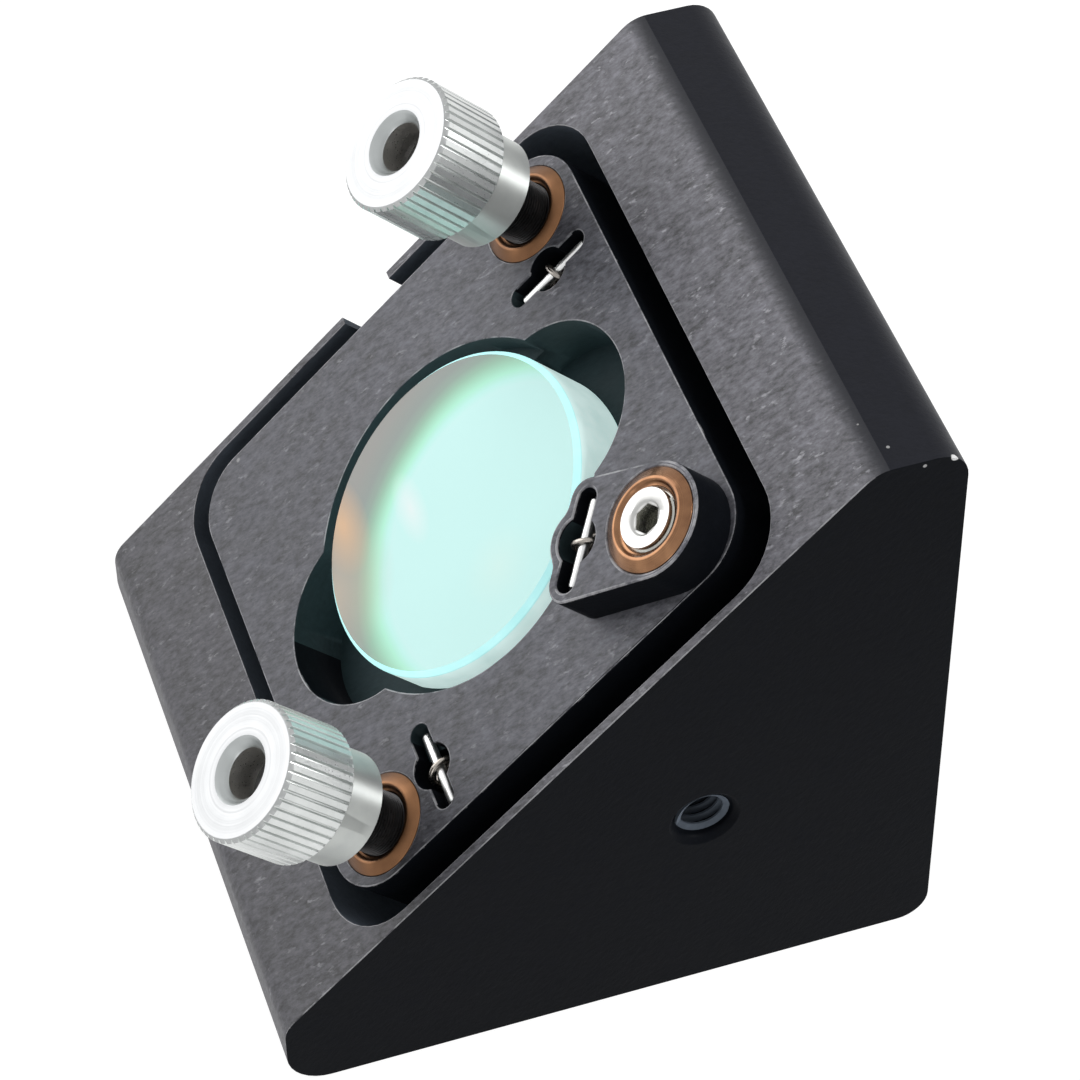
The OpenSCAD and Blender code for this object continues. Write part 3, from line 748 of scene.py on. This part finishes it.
def block_finish(face):
    """The finish of a face of the block, by where it lies; the inside black is a lighter copy, painted light in
    the shade.
    """
    middle = face.calc_center_median() / MM
    height = on_slope(middle * MM).z / MM
    if height > -RIM and middle.x < PAINTED_SHEEN_ROLL_OFF[1]:
        return SLOPE_FINISH
    if abs(middle.y) > SIDE_Y and abs(face.normal.y) > 0.5:
        return OUTSIDE
    if middle.x > TOP_X and middle.z > box_high.z / MM - TOP_BAND:
        return TOP
    if middle.z < BASE_Z or middle.x > BACK_X:
        return OUTSIDE
    if height > -0.05 or middle.x < TOE_X or middle.z > TIP_Z:
        return SLOPE_FINISH
    return INSIDE if height > -POCKET_DEPTH else OUTSIDE


box_low, box_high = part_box("housing")
bm = merged_copy("housing")
down, away, near = Vector((0, 0, -1)), Vector((1, 0, 0)), Vector((0, -1, 0))
slope_level = centre.dot(outward) / MM
broken = set()
for level_mm, direction in ((slope_level, outward), (box_high.y / MM, -near), (-box_low.y / MM, near),
                            (-box_low.z / MM, down), (box_high.x / MM, away)):
    broken.update(edges_on(bm, level_mm, direction))
break_edges(bm, list(broken), BLOCK_BREAK)
bmesh.ops.recalc_face_normals(bm, faces=bm.faces)
worn = bm.faces.layers.float["worn"]
for face in bm.faces:
    face.material_index = block_finish(face)
    if on_slope(face.calc_center_median()).z < -WORN_DEPTH * MM:
        face[worn] = 0.0

PORT_PITCH = 0.635
PORT_THREAD_H = 0.36
CAGE_HALF = 15
ROD_HOLE = {"radius": 1.42, "depth": 5.3, "pitch": 0.635, "height": 0.3, "steps": 24}
POST_HOLE = {"radius": 2.085, "depth": 6.9, "pitch": 0.794, "height": 0.38, "steps": 32}
mounts = {mount["name"]: mount for mount in frame["record"]["mounts"]}
for name in ("bottom_port", "back_port"):
    port = mouth_at(mounts[name])
    dims = mounts[name]["dims"]
    threaded_bore(bm, port, dims["r_mm"], dims["length_mm"], PORT_PITCH, PORT_THREAD_H, 96)
    for x in (-CAGE_HALF * MM, CAGE_HALF * MM):
        for y in (-CAGE_HALF * MM, CAGE_HALF * MM):
            threaded_bore(bm, port @ Matrix.Translation((x, y, 0)), **ROD_HOLE)
for name in ("post_hole_near", "post_hole_far"):
    hole = dict(mounts[name])
    hole["pos_m"] = (hole["pos_m"][0], math.copysign(box_high.y, hole["axis"][1]), hole["pos_m"][2])
    threaded_bore(bm, mouth_at(hole), **POST_HOLE)
block = finish_piece("block", bm, "block", (blasted, satin, inner_black_painted_light, top_black),
                     nodes=["housing"])
steady_normals(block)

# %% [markdown]
# ## The front plate
# The plate gets the same treatment: broken edges on its face and on the
# boss, a streaky black with a painted sheen on what faces out, a dark satin on
# its walls and a third, lighter black inside its bore and finger reliefs,
# painted light in their shade.

# %% Make the front plate
# The plate's face stands this far out of the slope, in mm; the reliefs reach this far from the axis.
PLATE_PROUD = 0.7
RELIEF_REACH = 17.5
BOSS_BREAK = 0.20
FACE_BREAK = 0.13


def plate_finish(face):
    """0 the outer face and the boss top, 1 the outer walls, 2 inside the bore and reliefs, in a black lightened as
    painted light.
    """
    spot = on_slope(face.calc_center_median()) / MM
    if face.normal.dot(outward) > 0.4 and spot.z > PLATE_PROUD - 0.2:
        return 0
    if math.hypot(spot.x, spot.y) < RELIEF_REACH and spot.z < PLATE_PROUD - 0.05:
        return 2
    return 1


bm = merged_copy("front_plate")
break_edges(bm, edges_on(bm, slope_level + plate_high.z / MM, outward), BOSS_BREAK, 3)
break_edges(bm, edges_on(bm, slope_level + PLATE_PROUD, outward), FACE_BREAK)
bmesh.ops.recalc_face_normals(bm, faces=bm.faces)
for face in bm.faces:
    face.material_index = plate_finish(face)
plate = finish_piece("tilting_plate", bm, "plate", (plate_black_with_painted_sheen, satin, bore_black_painted_light),
                     nodes=["front_plate"])
steady_normals(plate)

# %% [markdown]
# ## The mirror
# A lathe outline gives the disc its two flat faces, its rim and the small
# ground bevels.  The faces differ in finish, so each gets its own slot by its
# height on the axis.

# %% Make the mirror
bm = bmesh.new()
mirror_r = (mirror_high.x - mirror_low.x) / 2 / MM
mirror_top = (mirror_high.z - mirror_low.z) / MM
BEVEL = 0.4
half_outline = [(0, 0), (mirror_r - BEVEL, 0), (mirror_r - 0.03, BEVEL - 0.03), (mirror_r, BEVEL + 0.06),
                (mirror_r, mirror_top - BEVEL - 0.06), (mirror_r - 0.03, mirror_top - BEVEL + 0.03),
                (mirror_r - BEVEL, mirror_top), (0, mirror_top)]
turn_outline(bm, half_outline, 128)
for face in bm.faces:
    height = face.calc_center_median().z / MM
    tilt = abs(face.normal.z)
    if tilt > 0.95:
        face.material_index = 0 if height > mirror_top / 2 else 3
    else:
        face.material_index = 2 if tilt > 0.3 else 1
place(bm, Vector((0, 0, mirror_low.z)))
finish_piece("mirror", bm, "plate", (coated, ground_rim, ground_bevel, mirror_silver),
             nodes=["mirror_disc"], smooth=20)

# %% [markdown]
# ## Bushings, screws and knobs
# Each adjuster is a fine screw in a bronze bushing with a knob on top.  The
# bushing is turned: a coned shoulder, a bright ridge and a channel down to
# the screw.  The screws keep the model's hex socket and ball cup, and their
# bodies are drawn in to the root of the thread so that a real helix of 0.254
# mm pitch can stand on them.  The knobs keep the model's straight knurl, and
# the edges of every tooth are rounded a little.

# %% Make the bushings
BUSHING_BORE = 2.41
CONE_H = 0.45


def lie_flat(bm, where):
    """The opposite of place: brings a copy from its place to the origin."""
    spot = SLOPE @ Matrix.Translation(where)
    bmesh.ops.transform(bm, matrix=spot.inverted(), verts=bm.verts)


def make_bushing(name, finish):
    """A bronze bushing with a coned shoulder, a rounded ridge and a channel."""
    low, high = reach(name)
    foot, top = low.z / MM, high.z / MM
    face = top - CONE_H
    radius = (high.x - low.x) / 2 / MM
    bm = bmesh.new()
    turn_outline(bm, [
        (BUSHING_BORE, foot), (radius - 0.2, foot), (radius, foot + 0.2), (radius, face - 0.02),
        (radius - 0.04, face + 0.03), (3.26, top - 0.14), (3.14, top - 0.05), (3.02, top - 0.005),
        (2.90, top - 0.02), (2.80, top - 0.10), (2.72, top - 0.24), (2.62, top - 0.32),
        (2.52, top - 0.34), (2.44, top - 0.38), (BUSHING_BORE, top - 0.46), (BUSHING_BORE, foot)], 96)
    place(bm, axis_of(name))
    finish_piece(f"{name}_turned", bm, "plate", (finish,), nodes=[name], smooth=50)


for name, finish in zip(("bushing_1", "bushing_2", "pivot_bushing"), bronzes):
    make_bushing(name, finish)

# %% Make the screws
ROOT_R = 2.225
CREST_R = 2.375
SCREW_PITCH = 0.254
BODY_R = 2.25
END_RING = 0.4
EASED = 0.03


def make_screw(name, body, finishes):
    """A fine screw: the CAD solid drawn in to the thread root, with a helix on it."""
    low, high = reach(name)
    foot, top = low.z / MM, high.z / MM
    bm = merged_copy(name)
    lie_flat(bm, axis_of(name))
    for vert in bm.verts:
        radius = math.hypot(vert.co.x, vert.co.y) / MM
        if radius > BODY_R:
            vert.co.x *= ROOT_R / radius
            vert.co.y *= ROOT_R / radius
    break_edges(bm, sharp_edges(bm, 50, 0.4), EASED, 1)
    for face in bm.faces:
        face.material_index = 1 if face.calc_center_median().z / MM > top - END_RING else 0
    half = SCREW_PITCH * 0.47
    start = foot + 0.5
    loop = [(ROOT_R - 0.03, start - half), (CREST_R, start - 0.03),
            (CREST_R, start + 0.03), (ROOT_R - 0.03, start + half)]
    wind(bm, loop, SCREW_PITCH, math.floor((top - foot - 0.9) / SCREW_PITCH), 32)
    place(bm, axis_of(name))
    finish_piece(f"{name}_threaded", bm, body, finishes, nodes=[name])


# The adjuster screws are near black as painted shade under the knobs.
make_screw("adjuster_screw_1", "adjuster_1", (dark_steel, dark_steel))
make_screw("adjuster_screw_2", "adjuster_2", (dark_steel, dark_steel))
make_screw("pivot_screw", "plate", (socket_steel_painted_light, ring_steel))

# %% Make the knobs
KNURL, FACE, CHAMFER, COLLAR, CONE, HOLE = range(6)
KNURL_H = 6.3
CONE_R = 2.6
FACE_R = 4


def knob_finish(face, middle, top_mm):
    """The finish of a face of a knob, by where it lies; the finishes are lighter and darker copies of one metal,
    painted light and shade.
    """
    spot = (on_slope(face.calc_center_median()) - middle) / MM
    radius = math.hypot(spot.x, spot.y)
    facing = face.normal.dot(outward)
    if spot.z > top_mm - 1 and facing > 0.3:
        if facing > 0.93:
            return FACE
        return CHAMFER if radius > FACE_R else CONE
    if radius < CONE_R:
        return CONE if facing > 0.3 else HOLE
    return COLLAR if spot.z < top_mm - KNURL_H else KNURL


for i, body in ((1, "adjuster_1"), (2, "adjuster_2")):
    name = f"knob_{i}"
    _, high = reach(name)
    middle = axis_of(name)
    bm = merged_copy(name)
    break_edges(bm, sharp_edges(bm, 35), EASED, 1)
    bmesh.ops.recalc_face_normals(bm, faces=bm.faces)
    for face in bm.faces:
        face.material_index = knob_finish(face, middle, high.z / MM)
    finishes = (knurl_metal, knob_faces[i - 1], chamfer_metal, collar_metal, knob_cones[i - 1],
                hole_metal_painted_light)
    knob = finish_piece(f"{name}_knurled", bm, body, finishes, nodes=[name], smooth=30)
    steady_normals(knob)

# %% [markdown]
# ## Springs and their pins
# Three springs pull the plate onto its balls.  Each is one close-wound wire
# whose ends turn up into half loops over two steel pins.  Its path is one
# long curve, and a round section is swept along it.  The pins are short lathe
# turnings with eased ends.  A spring stands between the block and the plate
# and so crosses both tilts.  It could bend at only one of them, but a hook
# would then leave its pin, so each spring is made in two halves that meet in
# the middle of the coil, and each half bends at one tilt.

# %% Make the pins
def pin_axis(name):
    """Middle and direction of a pin, in the slope's frame, from the box of its CAD solid."""
    points = [on_slope(v.co) for v in frame["nodes"][name].data.vertices]
    middle = sum(points, Vector()) / len(points)
    far = max(points, key=lambda p: (p - middle).length)
    run = Vector((far.x - middle.x, far.y - middle.y))
    turned = math.atan2(run.y, run.x)
    return middle, round(turned / math.radians(45)) * math.radians(45)


PIN_R = 0.4
PIN_HALF = 3.3
for name in [n for n in frame["nodes"] if "_pin_" in n]:
    middle, turned = pin_axis(name)
    bm = bmesh.new()
    turn_outline(bm, [(0, -PIN_HALF), (0.22, -PIN_HALF), (0.35, -3.25), (PIN_R, -3.12), (PIN_R, 3.12),
                      (0.35, 3.25), (0.22, PIN_HALF), (0, PIN_HALF)], 40)
    bmesh.ops.rotate(bm, verts=bm.verts, cent=(0, 0, 0),
                     matrix=Matrix.Rotation(math.radians(90), 3, "Y"))
    place(bm, middle, turned)
    body = "plate" if name.startswith("plate") else "block"
    finish_piece(f"{name}_turned", bm, body, (bright_steel,), nodes=[name])

# %% Make the springs
WIRE_R = 0.218
COIL_R = 1.275
HOOK_R = 1.07
HOOK_GAP = 0.02
HOOK_SKEW = 0.28
COIL_PITCH = 0.456
COIL_END = 0.95
STEPS = 16


def hook(level_mm, way):
    """Points of a half loop over a pin, from its free end to the coil; way is 1 up or -1 down."""
    top = level_mm + way * (PIN_R + WIRE_R + HOOK_GAP - HOOK_R)
    points = []
    for degrees in range(-25, 196, 15):
        angle = math.radians(degrees)
        y, rise_mm = HOOK_R * math.cos(angle), HOOK_R * math.sin(angle)
        skew = HOOK_SKEW * math.cos(angle)
        points.append((skew, -y, top + way * rise_mm))
    return points


def wire_mesh(name, path):
    """A bmesh of a round wire along points given in mm."""
    curve = bpy.data.curves.new(name, "CURVE")
    curve.dimensions = "3D"
    curve.bevel_depth = WIRE_R * MM
    curve.bevel_resolution = 3
    curve.use_fill_caps = True
    wire = curve.splines.new("NURBS")
    wire.points.add(len(path) - 1)
    for point, (x, y, z) in zip(wire.points, path):
        point.co = (x * MM, y * MM, z * MM, 1)
    wire.order_u = 3
    wire.use_endpoint_u = True
    wire.resolution_u = 2
    holder = bpy.data.objects.new(name, curve)
    mesh = bpy.data.meshes.new_from_object(holder)
    bm = bmesh.new()
    bm.from_mesh(mesh)
    bmesh.ops.recalc_face_normals(bm, faces=bm.faces)
    bpy.data.objects.remove(holder)
    bpy.data.meshes.remove(mesh)
    return bm


def make_spring(number):
    """A wound wire between two pins: its lower half bends at one tilt, its upper half at the other."""
    name = f"spring_coil_{number}"
    low, turned = pin_axis(f"housing_pin_{number}")
    high, _ = pin_axis(f"plate_pin_{number}")
    bottom = low.z / MM + COIL_END
    height = (high.z - low.z) / MM - 2 * COIL_END
    turns = math.floor(height / COIL_PITCH) - 0.5
    coil = []
    for i in range(round(turns * STEPS) + 1):
        angle = math.radians(115) + math.tau * i / STEPS
        share = i / (turns * STEPS)
        coil.append((COIL_R * math.cos(angle), COIL_R * math.sin(angle), bottom + share * height))
    half = len(coil) // 2
    upper = [(-x, -y, z) for x, y, z in reversed(hook(high.z / MM, 1))]
    ends = (low + Vector((0, 0, MM)), Vector((low.x, low.y, coil[half][2] * MM)),
            high - Vector((0, 0, MM)))
    halves = (("lower", hook(low.z / MM, -1) + coil[:half + 1], ("block", "pivot"), ends[:2]),
              ("upper", coil[half:] + upper, ("pivot", "plate"), ends[1:]))
    for part, path, bodies, bend in halves:
        bm = wire_mesh(f"{name}_{part}", path)
        place(bm, Vector((high.x, high.y, 0)), turned)
        finish_piece(f"{name}_{part}", bm, bodies, (spring_steel,), nodes=[name], smooth=60,
                     bend=[SLOPE @ point for point in bend])


for number in (1, 2, 3):
    make_spring(number)

# %% [markdown]
# ## Seats, balls and the clamp
# The three hardened seats, the three balls and the clamp that holds the
# mirror are small and mostly hidden.  They are copies of the model's solids
# with eased edges, in polished or dark steel and white nylon.

# %% Finish the small parts
SMALL_EASED = 0.04
small_parts = (("seat_cone", "block", "steel", bright_steel),
               ("seat_vee", "block", "steel", bright_steel),
               ("seat_flat", "block", "steel", bright_steel),
               ("pivot_ball", "pivot", "steel", bright_steel),
               ("adjuster_ball_1", "tip_1", "steel", bright_steel),
               ("adjuster_ball_2", "tip_2", "steel", bright_steel),
               ("clamp_screw", "plate", "screw_steel", dark_steel),
               ("clamp_tip", "plate", "nylon", white_nylon))
for name, body, slot_name, finish in small_parts:
    bm = merged_copy(name)
    sharp = sharp_edges(bm, 60, 0.12)
    if sharp:
        break_edges(bm, sharp, SMALL_EASED, 1)
    finish_piece(f"{name}_finished", bm, body, (finish,), nodes=[name])

# %% [markdown]
# ## Floor and light
# The mount stands on a plain pale floor under soft studio light.  The world
# is white where the camera, a reflection or glass looks at it, and dimmer
# where it lights the surfaces, so that the lamps give the shape.  The floor
# does the same, so that the object keeps a soft shadow on a white ground.

# %% Make the floor and the light
FLOOR_HALF = 1.5
WORLD_LIGHT = 0.25


def seen_rays(tree):
    """1 where the camera, a reflection or glass looks straight at a thing, and 0 elsewhere."""
    rays = add_node(tree, "ShaderNodeLightPath").outputs
    seen = math_node(tree, "MAXIMUM", rays["Is Camera Ray"], rays["Is Glossy Ray"])
    return math_node(tree, "MAXIMUM", seen, rays["Is Transmission Ray"])


bm = bmesh.new()
bmesh.ops.create_grid(bm, x_segments=1, y_segments=1, size=FLOOR_HALF)
mesh = bpy.data.meshes.new("floor")
bm.to_mesh(mesh)
bm.free()
floor = bpy.data.objects.new("floor", mesh)
bpy.context.scene.collection.objects.link(floor)
floor_finish = bpy.data.materials.new("floor_white")
floor_finish.use_nodes = True
tree = floor_finish.node_tree
shader = tree.nodes["Principled BSDF"]
shader.inputs["Base Color"].default_value = (0.9, 0.9, 0.9, 1)
shader.inputs["Roughness"].default_value = 0.9
shader.inputs["Specular IOR Level"].default_value = 0.0
glow = add_node(tree, "ShaderNodeEmission", {"Color": (1, 1, 1, 1), "Strength": 0.88})
shade = add_node(tree, "ShaderNodeBsdfDiffuse", {"Color": (0.28, 0.28, 0.28, 1)})
ground = add_node(tree, "ShaderNodeAddShader", {0: glow.outputs[0], 1: shade.outputs[0]})
mixed = add_node(tree, "ShaderNodeMixShader",
                 {0: seen_rays(tree), 1: shader.outputs[0], 2: ground.outputs[0]})
tree.links.new(mixed.outputs[0], tree.nodes["Material Output"].inputs["Surface"])
mesh.materials.append(floor_finish)

world = bpy.data.worlds.new("studio")
bpy.context.scene.world = world
world.use_nodes = True
tree = world.node_tree
strength = ramp(tree, seen_rays(tree), 0.0, 1.0, WORLD_LIGHT, 1.0)
tree.nodes["Background"].inputs["Color"].default_value = (1, 1, 1, 1)
tree.links.new(strength, tree.nodes["Background"].inputs["Strength"])


def soft_light(name, at_mm, target_mm, size_mm, power):
    """A square area lamp that looks at a point."""
    lamp = bpy.data.lights.new(name, "AREA")
    lamp.shape = "SQUARE"
    lamp.size = size_mm * MM
    lamp.energy = power
    spot = bpy.data.objects.new(name, lamp)
    place_at = Vector(at_mm) * MM
    aim = (Vector(target_mm) * MM - place_at).to_track_quat("-Z", "Y")
    spot.matrix_world = Matrix.Translation(place_at) @ aim.to_matrix().to_4x4()
    bpy.context.scene.collection.objects.link(spot)


MIDDLE = (0, 0, 25)
soft_light("key", (-660, 580, 280), MIDDLE, 1250, 11.3)
soft_light("upper right", (310, -120, 340), MIDDLE, 150, 1.1)
soft_light("front left", (-210, -390, 70), MIDDLE, 140, 0.12)

# %% Set the view transform
bpy.context.scene.view_settings.view_transform = "Standard"
